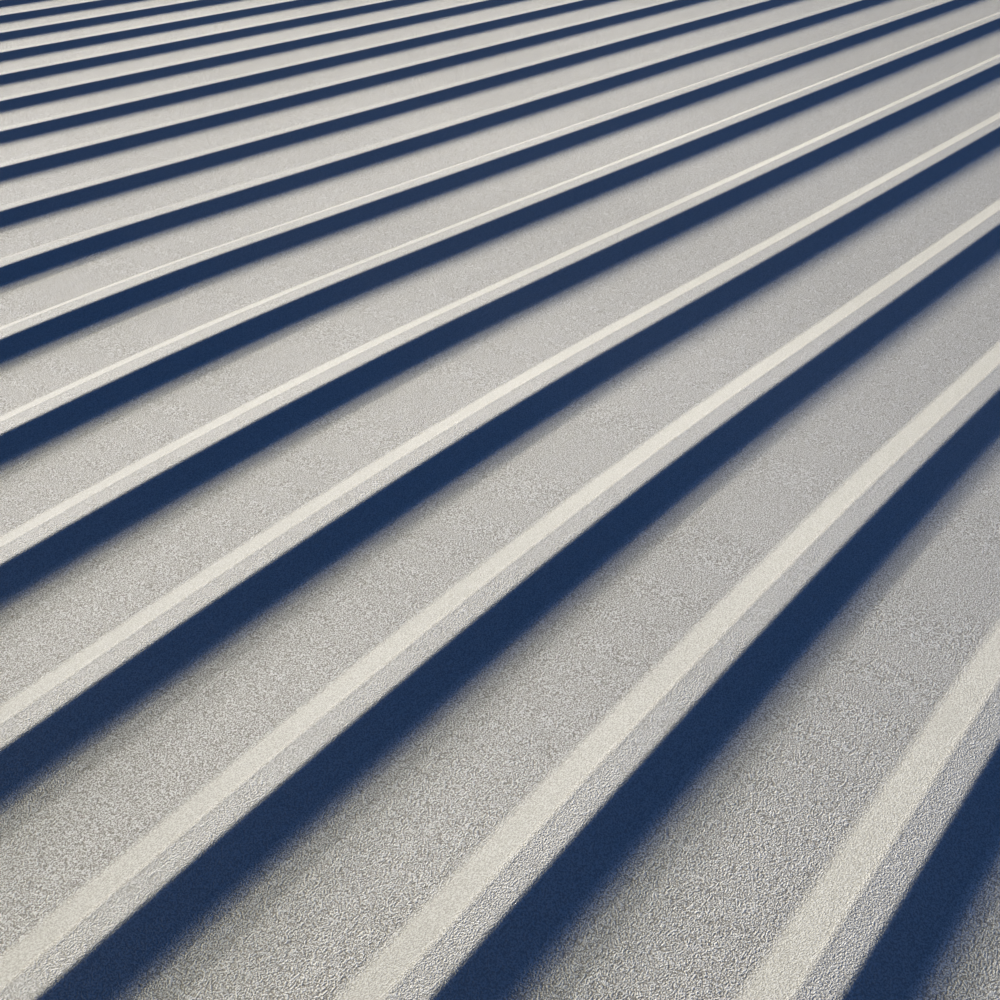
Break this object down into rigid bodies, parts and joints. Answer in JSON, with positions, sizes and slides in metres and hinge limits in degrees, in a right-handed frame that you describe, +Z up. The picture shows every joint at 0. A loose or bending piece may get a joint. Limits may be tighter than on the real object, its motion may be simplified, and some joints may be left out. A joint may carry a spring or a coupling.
{
  "type": "corrugated metal sheet",
  "caption": "Thin coated metal cladding sheet with low straight ribs on flat pans, a long straight run and one end rolled gently downwards.",
  "frame": {"origin": "on the floor under the middle of the sheet as it lies at rest", "axes": "+X along the ribs from the rolled end to the straight end, +Y across the ribs, +Z up from the floor"},
  "size_m": [1.997, 1.05, 0.0495],
  "materials": {
    "coated_steel": "satin silver-grey metallic coating with a fine pebbled texture"
  },
  "bodies": {
    "root": {"ribbed_sheet": "coated_steel"}
  },
  "joints": []
}
